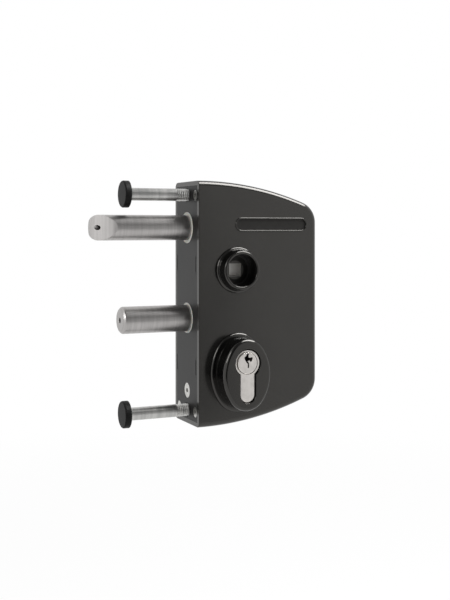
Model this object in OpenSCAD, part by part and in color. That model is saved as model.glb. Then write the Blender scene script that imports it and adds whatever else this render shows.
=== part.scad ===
// Gate lock box for a 40 mm post, in millimetres.
// X runs from the post face into the case, the front is -Y and Z is up.
// The origin is the middle of the face that lies on the post.

/* [Case] */
// Height of the case along the post
case_h = 155.2; // [130:0.2:180]
// Width from the post face to the straight edge
case_w = 84.5; // [82:0.5:88]
// Depth of the case, the same as the post
case_d = 40; // [40:0.5:44]
// Radius of the arched top and bottom
arch_r = 205; // [195:1:215]
// Radius of the two outer corners
corner_r = 14; // [13:1:17]
// Rounding of the front and rear edges
edge_r = 3.5; // [1:0.5:4]
// Wall thickness of the case
wall = 3; // [2:0.5:3]
// Length of the bare name field
field_l = 52; // [30:1:54]
// Height of the bare name field
field_h = 9; // [6:0.5:12]
// Distance of the name field's middle from the post face
field_x = 51; // [45:0.5:52]
// Height of the name field's middle
field_z = 50; // [46:0.5:52]

/* [Post] */
// Width of the post that the bolts reach through
post_w = 40; // [40:1:60]
// Distance between the two fixing bolts
fixing_pitch = 138; // [130:1:140]

/* [Lock axes] */
// Distance of handle and key axis from the post face
axis_x = 26.5; // [24:0.5:30]
// Height of the handle axis
hub_z = 21; // [19:0.5:23]
// Height of the key axis
key_z = -36.5; // [-38:0.5:-35]
// Height of the latch bolt axis
latch_z = 48; // [47:0.5:49]
// Height of the deadbolt axis
dead_z = -10; // [-11:0.5:-9]

/* [Bolts] */
// Diameter of the latch bolt
latch_dia = 16; // [14:0.2:16.4]
// Reach of the latch bolt beyond the post
latch_out = 23.3; // [20:0.1:26]
// Angle between the latch bevel and the bolt axis
bevel_angle = 40; // [35:1:45]
// Length of the full round of the latch bolt beyond the post
latch_round = 9; // [7:0.5:12]
// Rounding of the latch tip's upper and lower corner
tip_r = 4.5; // [2:0.5:6]
// Diameter of the deadbolt
dead_dia = 17; // [15:0.2:17.4]
// Reach of the retracted deadbolt beyond the post
dead_out = 5.3; // [3:0.1:10]
// Swing of the handle hub
hub_swing = 40; // [30:1:42]
// Reach of the hub lever
lever_reach = 29; // [27:0.5:29.5]

/* [Handle socket] */
// Bore of the handle socket
socket_dia = 20.5; // [18:0.5:21]
// Outside diameter of the handle socket
socket_od = 24.4; // [23:0.2:26]
// Height of the handle socket above the case
socket_out = 8; // [4:0.5:12]
// Square of the spindle hole
spindle = 8.1; // [7.1:0.1:10.1]

/* [Key cylinder] */
// Length of the double key cylinder
cylinder_l = 70; // [60:5:80]
// Diameter of the round part of the cylinder
cylinder_dia = 17; // [17:0.1:17.2]
// Width of the flat leg of the cylinder
cylinder_leg = 10; // [9.8:0.1:10.2]
// Total height of the cylinder section
cylinder_h = 33; // [32:0.5:33]
// Diameter of the turning plug
plug_dia = 13.3; // [12:0.1:13.5]
// Half width of the oval rosette front
rosette_w = 16.2; // [15:0.1:18]
// Half height of the oval rosette front
rosette_h = 22.4; // [21:0.1:24]
// Height of the rosette above the case
rosette_out = 15.8; // [10:0.1:16]
// Height of the rosette's middle above the middle of the cylinder
rosette_up = 0.6; // [0:0.1:1]
// Rounding of the rosette's front edge
rosette_r = 2.2; // [1:0.2:3]

/* [Hidden] */
$fa = 2;
$fs = 0.6;
half_h = case_h / 2;
half_d = case_d / 2;
arch_z = half_h - arch_r;
corner_x = case_w - corner_r;
seam = [0.352, 0.936];
arch_x = corner_x - (arch_r - corner_r) * seam[0];
corner_z = arch_z + (arch_r - corner_r) * seam[1];
corner_turn = atan2(seam[1], seam[0]);
rim = 12;
inner_y = half_d - wall;
plate_t = 3;
fix_z = fixing_pitch / 2;
plate_screw_y = 13.3;
plate_screw_z = 68.5;
spacers = [[62, 4.55], [66, -38], [9, -46], [60, 30], [8.5, 12]];
stud_r = 4;
thread_r = stud_r + 0.03;
cylinder_screw_drop = 20;
side_in = inner_y - 2.5;
side_out = inner_y - 0.5;
latch_r = latch_dia / 2;
dead_r = dead_dia / 2;
latch_tip = -post_w - latch_out;
dead_face = -post_w - dead_out;
lever_x = axis_x - lever_reach * sin(hub_swing / 2);
plug_r = plug_dia / 2;
cam_r = 15;
web_top = -cam_r - 0.4;
oval_z = key_z + (cylinder_dia - cylinder_h) / 2 + rosette_up;
oval_end = 1.5 * (rosette_h - rosette_w);
oval_side = 2 * (rosette_h - rosette_w);
oval_turn = atan2(oval_end, oval_side);
rosette_band = 4;
rosette_foot_out = 2.7;
rosette_foot_t = 1.8;
rosette_foot_r = 1.4;
socket_base = socket_od / 2 + 1.5;
socket_edge = 0.8;
socket_foot = 14.7;
socket_foot_t = 1.6;
socket_foot_r = 1.2;
spigot_r = 12;
cap_r = 8.5;
cap_t = 4;
cap_edge = 1;
latch_wire = 0.8;
hub_wire = 0.75;

// Round bar along X
module bar_x(x0, x1, r) {
    translate([x0, 0, 0])
        rotate([0, 90, 0])
            cylinder(h = x1 - x0, r = r);
}

// Round bar along Y
module bar_y(y0, y1, r) {
    translate([0, y0, 0])
        rotate([-90, 0, 0])
            cylinder(h = y1 - y0, r = r);
}

// Box between two corners
module box(x, y, z) {
    translate([x[0], y[0], z[0]])
        cube([x[1] - x[0], y[1] - y[0], z[1] - z[0]]);
}

// Flat outline in X and Z, given depth from y0 to y1
module slab(y0, y1) {
    translate([0, y1, 0])
        rotate([90, 0, 0])
            linear_extrude(height = y1 - y0)
                children();
}

// Points along the upper half of the D outline, drawn in by d and starting at x0
function upper_points(d, x0) = let (a0 = acos((x0 - arch_x) / (arch_r - d))) concat(
    [for (i = [0:8]) let (a = a0 + (corner_turn - a0) * i / 8)
        [arch_x + (arch_r - d) * cos(a), arch_z + (arch_r - d) * sin(a)]],
    [for (i = [1:5]) let (a = corner_turn * (1 - i / 5))
        [corner_x + (corner_r - d) * cos(a), corner_z + (corner_r - d) * sin(a)]]);

// Core of the case, which ends in the middle of the rim's flat band
module case_core(x0) {
    upper = upper_points((rim + edge_r) / 2, x0);
    polygon(concat(upper, [for (i = [len(upper) - 1:-1:0]) [upper[i][0], -upper[i][1]]]));
}

// Section of the rim: a bar with two rounded outer corners, ending at x
module rim_section(x) {
    translate([x - rim, -half_d])
        square([rim - edge_r, case_d]);
    translate([x - edge_r, -half_d + edge_r])
        square([edge_r, case_d - 2 * edge_r]);
    translate([x - edge_r, half_d - edge_r])
        circle(edge_r);
    translate([x - edge_r, -half_d + edge_r])
        circle(edge_r);
}

// Plain section of the space inside the rim
module space_section(x) {
    translate([x - rim, -inner_y])
        square([rim - wall, 2 * inner_y]);
}

// Section swept along the arches, the corners and the straight edge, in a frame whose Z is the front
module swept(inside) {
    for (side = [0, 1]) {
        mirror([0, side, 0]) {
            intersection() {
                translate([arch_x, arch_z, 0])
                    rotate_extrude()
                        if (inside) space_section(arch_r); else rim_section(arch_r);
                translate([arch_x, arch_z, -50])
                    linear_extrude(height = 100)
                        polygon([[0, 0], [250 * seam[0], 250 * seam[1]], [0, 250], [-20, 250], [-20, 0]]);
            }
            translate([corner_x, corner_z, 0])
                rotate_extrude()
                    if (inside) space_section(corner_r); else rim_section(corner_r);
        }
    }
    translate([0, -corner_z, 0])
        rotate([-90, 0, 0])
            linear_extrude(height = 2 * corner_z)
                if (inside) space_section(case_w); else rim_section(case_w);
}

// Solid body of the case with rounded front and rear edges and the raised name field
module case_body() {
    rotate([90, 0, 0]) {
        intersection() {
            swept(false);
            translate([0, -100, -50])
                cube([200, 200, 100]);
        }
        translate([0, 0, -half_d])
            linear_extrude(height = case_d)
                case_core(0);
        translate([field_x, field_z, 0])
            linear_extrude(height = half_d + 0.6)
                field(0);
    }
}

// Space inside the case
module case_space() {
    rotate([90, 0, 0]) {
        swept(true);
        translate([0, 0, -inner_y])
            linear_extrude(height = 2 * inner_y)
                case_core(-1);
    }
}

// Long field with round ends
module field(d) {
    l = field_l / 2 - field_h / 2;
    translate([-l, -field_h / 2 + d])
        square([2 * l, field_h - 2 * d]);
    translate([-l, 0])
        circle(field_h / 2 - d);
    translate([l, 0])
        circle(field_h / 2 - d);
}

// Quarter of the rosette oval, drawn in by d
function oval_points(d) = concat(
    [for (i = [0:5]) let (a = oval_turn * i / 5, r = rosette_w + oval_side - d)
        [-oval_side + r * cos(a), r * sin(a)]],
    [for (i = [1:5]) let (a = oval_turn + (90 - oval_turn) * i / 5, r = rosette_h - oval_end - d)
        [r * cos(a), oval_end + r * sin(a)]]);

// Core of the rosette, which ends in the flat band of its wall
module oval_core(d) {
    q = oval_points(d);
    n = len(q);
    polygon(concat(q, [for (i = [n - 2:-1:0]) [-q[i][0], q[i][1]]],
        [for (i = [1:n - 1]) [-q[i][0], -q[i][1]]], [for (i = [n - 2:-1:1]) [q[i][0], -q[i][1]]]));
}

// Key cylinder section with its round end on the key axis, widened by d
module key_section(d) {
    circle(cylinder_dia / 2 + d);
    translate([-cylinder_leg / 2 - d, cylinder_dia / 2 - cylinder_h + cylinder_leg / 2])
        square([cylinder_leg + 2 * d, cylinder_h - cylinder_dia / 2 - cylinder_leg / 2]);
    translate([0, cylinder_dia / 2 - cylinder_h + cylinder_leg / 2])
        circle(cylinder_leg / 2 + d);
}

// Section of a disc or flange of radius r and thickness t with its upper edge rounded by e
module rounded_section(r, t, e) {
    intersection() {
        union() {
            square([r - e, t]);
            square([r, t - e]);
            translate([r - e, t - e])
                circle(e);
        }
        square([r, t]);
    }
}

// Countersunk screw along X with its head flush with the post face
module sunk_screw(r, head_r, tip) {
    difference() {
        union() {
            bar_x(0.2 + head_r - r, tip, r);
            translate([0.2, 0, 0])
                rotate([0, 90, 0])
                    cylinder(h = head_r - r, r1 = head_r, r2 = r);
        }
        translate([0.1, 0, 0])
            rotate([0, 90, 0])
                cylinder(h = 1.6, r = r * 0.6, $fn = 6);
    }
}

// Hole that takes such a screw
module sunk_hole(r, head_r) {
    bar_x(-1, 20, r + 0.05);
    translate([0.2, 0, 0])
        rotate([0, 90, 0])
            cylinder(h = head_r - r, r1 = head_r + 0.05, r2 = r + 0.05);
    bar_x(-1, 0.25, head_r + 0.05);
}

module lock_case() {
    color("#2b2b2a")
        difference() {
            union() {
                difference() {
                    case_body();
                    case_space();
                }
                for (y = [-1, 1], z = [-1, 1]) {
                    box([plate_t, 16], y > 0 ? [9.8, inner_y + 0.5] : [-inner_y - 0.5, -9.8],
                        z > 0 ? [63, half_h - 1.5] : [-half_h + 1.5, -63]);
                }
            }
            translate([field_x, 0, field_z])
                slab(-half_d - 1, -half_d + 0.5)
                    field(1);
            translate([axis_x, 0, hub_z])
                bar_y(-30, 30, spigot_r);
            translate([axis_x, 0, key_z])
                slab(-30, 30)
                    key_section(2.2);
            for (y = [-1, 1], z = [-1, 1]) {
                translate([0, y * plate_screw_y, z * plate_screw_z])
                    bar_x(2, 15, 1.8);
            }
        }
}

module mounting_plate() {
    color("#2b2b2a")
        difference() {
            box([0, plate_t], [-inner_y + 0.1, inner_y - 0.1], [-half_h + 3.2, half_h - 3.2]);
            translate([0, 0, latch_z])
                bar_x(-1, 5, 10);
            translate([0, 0, dead_z])
                bar_x(-1, 5, 9.8);
            translate([0, 0, fix_z])
                bar_x(-1, 5, 4.5);
            translate([0, 0, -fix_z])
                bar_x(-1, 5, 4.5);
            translate([0, 0, key_z - cylinder_screw_drop])
                sunk_hole(2.5, 4.8);
            for (y = [-1, 1], z = [-1, 1]) {
                translate([0, y * plate_screw_y, z * plate_screw_z])
                    sunk_hole(1.8, 3.3);
            }
            for (y = [-1, 1], z = [20, -45]) {
                translate([0, y * (side_in + side_out) / 2, z])
                    box([-1, 5], [-1.05, 1.05], [-0.05, 10.05]);
            }
        }
}

module plate_screws() {
    color("#b9bcbd")
        for (y = [-1, 1], z = [-1, 1]) {
            translate([0, y * plate_screw_y, z * plate_screw_z])
                sunk_screw(1.75, 3.25, 14);
        }
}

// Side plate of the mechanism, with tabs that lock into the mounting plate
module side_plate() {
    difference() {
        slab(side_in, side_out)
            difference() {
                union() {
                    polygon([[plate_t, -61.5], [60, -61.5], [77, -47], [77, 47], [66, 61], [plate_t, 61]]);
                    translate([0.2, 20])
                        square([4, 10]);
                    translate([0.2, -45])
                        square([4, 10]);
                }
                translate([axis_x, key_z])
                    key_section(0.3);
            }
        translate([axis_x, 0, hub_z])
            bar_y(0, 30, 9.05);
        translate([0, 0, dead_z]) {
            box([29.2, 54.8], [0, 30], [-2.56, 2.56]);
        }
        for (p = spacers) {
            translate([p[0], 0, p[1]])
                bar_y(0, 30, 2.02);
        }
        box([72, 76], [0, 30], [latch_z - 4.05, latch_z + 4.05]);
    }
}

module front_side_plate() {
    color("#4a4a49")
        mirror([0, 1, 0])
            side_plate();
}

module rear_side_plate() {
    color("#4a4a49")
        side_plate();
}

module plate_spacers() {
    color("#b4b7b8")
        for (p = spacers) {
            translate([p[0], 0, p[1]]) {
                bar_y(-side_in, side_in, 3);
                bar_y(-side_out, side_out, 2);
            }
        }
}

module fixing_blocks() {
    color("#b4b7b8")
        for (z = [-1, 1]) {
            difference() {
                box([plate_t, 15], [-9.5, 9.5], z > 0 ? [62.5, half_h - 4] : [-half_h + 4, -62.5]);
                translate([0, 0, z * fix_z])
                    bar_x(0, 20, thread_r);
            }
        }
}

module fixing_bolts() {
    color("#c0c3c4")
        for (z = [-1, 1]) {
            translate([0, 0, z * fix_z])
                difference() {
                    union() {
                        bar_x(-post_w, 14.5, stud_r);
                        bar_x(-post_w - 2.6, -post_w, 6.5);
                    }
                    translate([-post_w - 3, 0, 0])
                        rotate([0, 90, 0])
                            cylinder(h = 2.4, r = 2.9, $fn = 6);
                }
        }
}

module fixing_bolt_caps() {
    color("#1d1d1d")
        for (z = [-1, 1]) {
            translate([-post_w, 0, z * fix_z])
                difference() {
                    rotate([0, -90, 0])
                        rotate_extrude()
                            rounded_section(cap_r, cap_t, cap_edge);
                    bar_x(-2.7, 1, 6.52);
                }
        }
}

module latch_bush() {
    color("#e6e4dc")
        translate([0, 0, latch_z])
            difference() {
                union() {
                    bar_x(0, 7.5, 10);
                    bar_x(plate_t, 5, 12);
                }
                bar_x(-1, 10, latch_r + 0.06);
            }
}

module deadbolt_bush() {
    color("#e6e4dc")
        translate([0, 0, dead_z])
            difference() {
                bar_x(0, 9.5, 9.8);
                bar_x(-1, 12, dead_r + 0.06);
            }
}

module latch_bolt() {
    rise = latch_dia / tan(bevel_angle);
    bevel_x = -post_w - latch_round;
    color("#c9cbcc")
        translate([0, 0, latch_z])
            difference() {
                intersection() {
                    bar_x(latch_tip, 7.6, latch_r);
                    slab(-20, 20)
                        union() {
                            translate([latch_tip + tip_r, -10])
                                square([100, 20]);
                            translate([latch_tip, -latch_r + tip_r])
                                square([10, latch_dia - 2 * tip_r]);
                            translate([latch_tip + tip_r, latch_r - tip_r])
                                circle(tip_r);
                            translate([latch_tip + tip_r, -latch_r + tip_r])
                                circle(tip_r);
                        }
                }
                translate([0, 0, -20])
                    linear_extrude(height = 40)
                        polygon([[bevel_x, -latch_r], [bevel_x - 2 * rise, -latch_r + 2 * latch_dia],
                            [bevel_x - 2 * rise - 40, -latch_r]]);
                bar_x(latch_tip - 5, 0, 1.6);
                bar_x(-26, 10, thread_r);
            }
}

module latch_stud() {
    color("#aeb1b2")
        translate([0, 0, latch_z])
            difference() {
                bar_x(-24, 11.6, stud_r);
                translate([-24.1, 0, 0])
                    rotate([0, 90, 0])
                        cylinder(h = 4, r = 1.7, $fn = 6);
            }
}

module latch_carriage() {
    color("#9aa0a3")
        difference() {
            union() {
                box([8, 30], [-9, 9], [latch_z - 8.5, latch_z + 9.5]);
                translate([0, 0, latch_z])
                    bar_x(30, 44, 5.5);
            }
            slab(-3.6, 3.6)
                polygon([[lever_x - 4.8, 55.2], [lever_x - 4.8, 46], [lever_x - 7.3, 38], [lever_x + 7.3, 38],
                    [lever_x + 4.8, 46], [lever_x + 4.8, 55.2]]);
            translate([0, 0, latch_z]) {
                bar_x(7, 13, thread_r);
                bar_x(20, 46, 3.05);
            }
        }
}

function ring(p, u, v, w) = [for (k = [0:5]) p + w * cos(60 * k) * u + w * sin(60 * k) * v];

// Round wire along a path, made of one ring of six points per step
module wire(path, axis, w) {
    n = len(path);
    tangents = [for (i = [0:n - 1]) let (d = path[min(i + 1, n - 1)] - path[max(i - 1, 0)]) d / norm(d)];
    rings = [for (i = [0:n - 1])
        let (u0 = cross(tangents[i], axis), u = u0 / norm(u0), v = cross(u, tangents[i]))
        each ring(path[i], u, v, w)];
    sides = [for (i = [0:n - 2], k = [0:5])
        let (a = 6 * i + k, b = 6 * i + (k + 1) % 6)
        each [[a, b, b + 6], [a, b + 6, a + 6]]];
    start = [for (k = [1:4]) [0, k + 1, k]];
    end = [for (k = [1:4]) [6 * (n - 1), 6 * (n - 1) + k, 6 * (n - 1) + k + 1]];
    polyhedron(points = rings, faces = concat(sides, start, end), convexity = 8);
}

latch_coil_r = 7.2;
latch_coil_turns = 9;
latch_coil_path = [for (i = [0:12 * latch_coil_turns])
    let (t = i / (12 * latch_coil_turns), a = 30 * i,
        x = 30.95 + 40.1 * (t < 0.1 ? 0.6 * t : t > 0.9 ? 1 - 0.6 * (1 - t) : 0.06 + (t - 0.1) * 1.1))
    [x, latch_coil_r * cos(a), latch_z + latch_coil_r * sin(a)]];
hub_coil_r = 12.6;
hub_coil_turns = 4.25;
hub_coil_path = concat(
    [for (x = [65, 58, 50, 42, 34]) [x, 12.9, hub_z - hub_coil_r]],
    [for (i = [0:12 * hub_coil_turns])
        let (a = 270 - 30 * i)
        [axis_x + hub_coil_r * cos(a), 12.9 - 8.5 * i / (12 * hub_coil_turns), hub_z + hub_coil_r * sin(a)]],
    [for (z = [4, 7, 10]) [axis_x - hub_coil_r, 4.4, hub_z + z]]);
function least_gap(path, w, apart) = min([for (i = [0:len(path) - 1], j = [0:len(path) - 1])
    if (j - i >= apart) norm(path[j] - path[i])]) - 2 * w;
echo(latch_spring_gap = least_gap(latch_coil_path, latch_wire, 7),
    hub_spring_gap = least_gap(hub_coil_path, hub_wire, 7));

module latch_spring() {
    color("#b8babb")
        wire(latch_coil_path, [1, 0, 0], latch_wire);
}

module latch_guide_rod() {
    color("#b8babb")
        translate([0, 0, latch_z])
            bar_x(42, 76, 3);
}

module spring_anchor() {
    color("#a2a6a8")
        difference() {
            union() {
                box([72, 76], [-side_in, side_in], [latch_z - 8, latch_z + 8]);
                box([72.05, 75.95], [-side_out, side_out], [latch_z - 4, latch_z + 4]);
            }
            translate([0, 0, latch_z])
                bar_x(70, 78, 3.02);
        }
}

module hub_follower() {
    color("#3a3937")
        translate([axis_x, 0, hub_z])
            difference() {
                union() {
                    bar_y(-side_in + 0.2, side_in - 0.2, 11);
                    bar_y(-side_out, side_out, 9);
                    bar_y(-3, 3, 13);
                    rotate([0, -hub_swing / 2, 0]) {
                        box([-3, 3], [-3, 3], [0, lever_reach]);
                        translate([0, 0, lever_reach])
                            bar_y(-3, 3, 4.3);
                    }
                    translate([-hub_coil_r - 2.35, 0, 6]) {
                        bar_y(-3, 3, 3.5);
                        bar_y(-3, 7, 1.5);
                    }
                    rotate([0, -atan2(hub_coil_r + 2.35, 6), 0])
                        box([-3.5, 3.5], [-3, 3], [0, norm([hub_coil_r + 2.35, 6])]);
                }
                box([-spindle / 2, spindle / 2], [-30, 30], [-spindle / 2, spindle / 2]);
            }
}

module hub_spring() {
    color("#b8babb")
        wire(hub_coil_path, [0, 1, 0], hub_wire);
}

module deadbolt() {
    color("#c9cbcc")
        translate([0, 0, dead_z])
            difference() {
                union() {
                    bar_x(dead_face + 1.5, 30.5, dead_r);
                    translate([dead_face, 0, 0])
                        rotate([0, 90, 0])
                            cylinder(h = 1.5, r1 = dead_r - 1.5, r2 = dead_r);
                }
                bar_x(dead_face - 5, 0, 1.7);
                bar_x(-24, 32, thread_r);
            }
}

module deadbolt_stud() {
    color("#aeb1b2")
        translate([0, 0, dead_z])
            difference() {
                bar_x(-22, 39, stud_r);
                translate([-22.1, 0, 0])
                    rotate([0, 90, 0])
                        cylinder(h = 4, r = 1.7, $fn = 6);
            }
}

module deadbolt_carriage() {
    color("#9aa0a3")
        difference() {
            union() {
                for (y = [-1, 1]) {
                    box([23.2, 58], y > 0 ? [10, 12.5] : [-12.5, -10], [dead_z - 15.5, dead_z + 6]);
                }
                box([23.2, 26], [-12.5, 12.5], [dead_z - 15.5, dead_z - 10.2]);
                box([47, 50], [-12.5, 12.5], [dead_z - 15.5, dead_z - 10.2]);
                box([31, 39], [-12.5, 12.5], [dead_z - 8, dead_z + 8]);
                box([31, 60], [-4, 4], [dead_z + 6, dead_z + 11]);
                translate([52, 0, dead_z]) {
                    bar_y(10, side_out - 0.2, 2.5);
                    bar_y(-side_out + 0.2, -10, 2.5);
                }
            }
            translate([0, 0, dead_z])
                bar_x(30, 40, thread_r);
            for (x = [36, 56]) {
                slab(-5, 5)
                    polygon([[x - 2, dead_z + 11.01], [x, dead_z + 9.4], [x + 2, dead_z + 11.01]]);
            }
        }
}

module detent_spring() {
    z = dead_z + 11;
    color("#b8babb") {
        slab(-3.5, 3.5)
            difference() {
                union() {
                    translate(spacers[0])
                        circle(3.6);
                    polygon([[33, z + 1.4], [36, z - 1], [37.6, z + 0.7], [59, z + 1.8], [59.6, z + 2.6],
                        [37.2, z + 1.3], [36, z], [33.3, z + 2.1]]);
                }
                translate(spacers[0])
                    circle(3);
                translate([spacers[0][0], 3.6])
                    square([10, 1.9]);
            }
    }
}

module cylinder_body() {
    color("#c4bfb4")
        translate([axis_x, 0, key_z])
            difference() {
                slab(-cylinder_l / 2, cylinder_l / 2)
                    key_section(0);
                box([-20, 20], [-5, 5], [web_top, 20]);
                bar_y(-60, 60, plug_r + 0.03);
                translate([0, 0, -cylinder_screw_drop])
                    bar_x(-20, 20, 2.52);
            }
}

// Turning plug that faces the front, with its zigzag key slot
module key_plug() {
    color("#cdc8bd")
        translate([axis_x, 0, key_z])
            difference() {
                bar_y(-cylinder_l / 2, -5.05, plug_r);
                slab(-cylinder_l / 2 - 1, -10)
                    polygon([[-0.4, 6.2], [1, 6.2], [0.7, 4.5], [0.9, 3.5], [3.3, 3.7], [3.6, 2.9],
                        [2.6, 0.9], [1.7, 1], [1.2, 1.9], [0, 1.2], [1, 0.2], [1, -2.9], [0.1, -2.9],
                        [0.1, -0.3], [-1.2, 1.1], [-2, 2.8], [-2.2, 3.9], [-1, 4.7]]);
            }
}

module front_key_plug() {
    key_plug();
}

module rear_key_plug() {
    translate([2 * axis_x, 0, 0])
        rotate([0, 0, 180])
            key_plug();
}

module cylinder_cam() {
    color("#8f8a80")
        translate([axis_x, 0, key_z])
            difference() {
                union() {
                    bar_y(-4.9, 4.9, 8.3);
                    slab(-4.9, 4.9)
                        intersection() {
                            circle(cam_r);
                            translate([-4, -20])
                                square([8, 20]);
                        }
                }
                bar_y(-6, 6, stud_r + 0.03);
            }
}

module cam_clutch() {
    color("#b4b7b8")
        translate([axis_x, 0, key_z])
            bar_y(-4.9, 4.9, stud_r);
}

module cylinder_screw() {
    color("#b9bcbd")
        translate([0, 0, key_z - cylinder_screw_drop])
            sunk_screw(2.5, 4.75, 31.3);
}

// Section of the rosette wall with its base flange and rounded front edge
module rosette_section(x) {
    translate([x - rosette_band, 0]) {
        rounded_section(rosette_band + rosette_foot_out, rosette_foot_t, rosette_foot_r);
        rounded_section(rosette_band, rosette_out, rosette_r);
    }
}

// Oval rosette in front of the case: wall swept along the four arcs, core, base flange and spigot
module rosette() {
    translate([axis_x, -half_d, oval_z])
        rotate([90, 0, 0])
            difference() {
                union() {
                    for (side = [0, 1]) {
                        mirror([side, 0, 0])
                            intersection() {
                                translate([-oval_side, 0, 0])
                                    rotate_extrude()
                                        rosette_section(rosette_w + oval_side);
                                translate([-oval_side, 0, -20])
                                    linear_extrude(height = 60)
                                        polygon([[0, 0], [40, -30], [40, 30]]);
                            }
                        mirror([0, side, 0])
                            translate([0, oval_end, 0])
                                rotate_extrude()
                                    rosette_section(rosette_h - oval_end);
                    }
                    linear_extrude(height = rosette_out)
                        oval_core((rosette_band + rosette_r) / 2);
                    translate([0, key_z - oval_z, -wall])
                        linear_extrude(height = wall + 1)
                            key_section(2.15);
                }
                translate([0, key_z - oval_z, -10])
                    linear_extrude(height = 40)
                        key_section(0.4);
            }
}

module front_rosette() {
    color("#222222")
        rosette();
}

module rear_rosette() {
    color("#222222")
        mirror([0, 1, 0])
            rosette();
}

// Handle socket: base flange, slightly tapered collar with rounded front edge and a spigot
module handle_socket() {
    bore = socket_dia / 2;
    top = socket_od / 2;
    front = half_d + socket_out;
    translate([axis_x, 0, hub_z])
        rotate([90, 0, 0])
            rotate_extrude() {
                translate([bore, inner_y])
                    square([spigot_r - bore, wall]);
                translate([bore, half_d])
                    rounded_section(socket_foot - bore, socket_foot_t, socket_foot_r);
                polygon([[bore, half_d], [socket_base, half_d], [top, front - socket_edge],
                    [top - socket_edge, front - socket_edge], [top - socket_edge, front], [bore, front]]);
                translate([top - socket_edge, front - socket_edge])
                    circle(socket_edge);
            }
}

module front_handle_socket() {
    color("#1e1e1e")
        handle_socket();
}

module rear_handle_socket() {
    color("#1e1e1e")
        mirror([0, 1, 0])
            handle_socket();
}

lock_case();
mounting_plate();
plate_screws();
front_side_plate();
rear_side_plate();
plate_spacers();
fixing_blocks();
fixing_bolts();
fixing_bolt_caps();
latch_bush();
deadbolt_bush();
latch_bolt();
latch_stud();
latch_carriage();
latch_spring();
latch_guide_rod();
spring_anchor();
hub_follower();
hub_spring();
deadbolt();
deadbolt_stud();
deadbolt_carriage();
detent_spring();
cylinder_body();
front_key_plug();
rear_key_plug();
cylinder_cam();
cam_clutch();
cylinder_screw();
front_rosette();
rear_rosette();
front_handle_socket();
rear_handle_socket();
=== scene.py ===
import math

import bmesh
import bpy
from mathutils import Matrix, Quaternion, Vector


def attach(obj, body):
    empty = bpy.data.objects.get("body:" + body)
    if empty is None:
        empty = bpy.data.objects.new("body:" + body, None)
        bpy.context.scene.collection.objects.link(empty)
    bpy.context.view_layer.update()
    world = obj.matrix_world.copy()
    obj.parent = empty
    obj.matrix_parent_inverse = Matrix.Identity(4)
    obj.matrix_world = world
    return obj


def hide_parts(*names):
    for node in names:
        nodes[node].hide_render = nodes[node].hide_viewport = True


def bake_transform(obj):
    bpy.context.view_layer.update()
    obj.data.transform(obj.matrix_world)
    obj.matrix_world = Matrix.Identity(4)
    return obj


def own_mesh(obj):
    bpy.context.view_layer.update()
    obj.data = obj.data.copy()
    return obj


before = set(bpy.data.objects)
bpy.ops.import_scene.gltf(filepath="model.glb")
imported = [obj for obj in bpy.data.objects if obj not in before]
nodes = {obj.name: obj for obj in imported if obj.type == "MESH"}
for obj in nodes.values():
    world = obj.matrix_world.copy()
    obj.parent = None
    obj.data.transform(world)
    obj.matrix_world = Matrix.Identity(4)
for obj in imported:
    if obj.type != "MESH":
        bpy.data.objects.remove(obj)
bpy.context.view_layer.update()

MM = 0.001

# Mounting plate and its screws.
# A flat steel plate that closes the open side of the case, punched and coated
# black like it. Four zinc-plated screws hold it, a longer one holds the cylinder.


def plain_finish(name, dark, light, metal, rough, cloud, grain, depth, stretch=(1, 1, 1)):
    """Material with clouded colour and a fine grain in roughness and relief.
    The sizes of cloud and grain and the depth of the relief are in mm."""
    made = bpy.data.materials.new(name)
    made.use_nodes = True
    tree = made.node_tree
    shader = tree.nodes["Principled BSDF"]
    spot = tree.nodes.new("ShaderNodeTexCoord")
    stretched = tree.nodes.new("ShaderNodeMapping")
    stretched.inputs["Scale"].default_value = stretch
    tree.links.new(spot.outputs["Object"], stretched.inputs["Vector"])
    clouds = tree.nodes.new("ShaderNodeTexNoise")
    clouds.inputs["Scale"].default_value = 1000 / cloud
    clouds.inputs["Detail"].default_value = 4
    tree.links.new(stretched.outputs["Vector"], clouds.inputs["Vector"])
    tint = tree.nodes.new("ShaderNodeValToRGB")
    tint.color_ramp.elements[0].position = 0.35
    tint.color_ramp.elements[1].position = 0.65
    tint.color_ramp.elements[0].color = (*dark, 1)
    tint.color_ramp.elements[1].color = (*light, 1)
    tree.links.new(clouds.outputs["Fac"], tint.inputs["Fac"])
    tree.links.new(tint.outputs["Color"], shader.inputs["Base Color"])
    grains = tree.nodes.new("ShaderNodeTexNoise")
    grains.inputs["Scale"].default_value = 1000 / grain
    grains.inputs["Detail"].default_value = 2
    tree.links.new(stretched.outputs["Vector"], grains.inputs["Vector"])
    gloss = tree.nodes.new("ShaderNodeMapRange")
    gloss.inputs["From Min"].default_value = 0.3
    gloss.inputs["From Max"].default_value = 0.7
    gloss.inputs["To Min"].default_value = rough[0]
    gloss.inputs["To Max"].default_value = rough[1]
    tree.links.new(grains.outputs["Fac"], gloss.inputs["Value"])
    tree.links.new(gloss.outputs["Result"], shader.inputs["Roughness"])
    bump = tree.nodes.new("ShaderNodeBump")
    bump.inputs["Strength"].default_value = 1
    bump.inputs["Distance"].default_value = depth * MM
    tree.links.new(grains.outputs["Fac"], bump.inputs["Height"])
    tree.links.new(bump.outputs["Normal"], shader.inputs["Normal"])
    shader.inputs["Metallic"].default_value = metal
    return made


def coat_shine(made, level, tint=(1, 1, 1)):
    """Sets how strongly a coating mirrors, and in which tint."""
    shader = made.node_tree.nodes["Principled BSDF"]
    shader.inputs["Specular IOR Level"].default_value = level
    shader.inputs["Specular Tint"].default_value = (*tint, 1)


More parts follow.
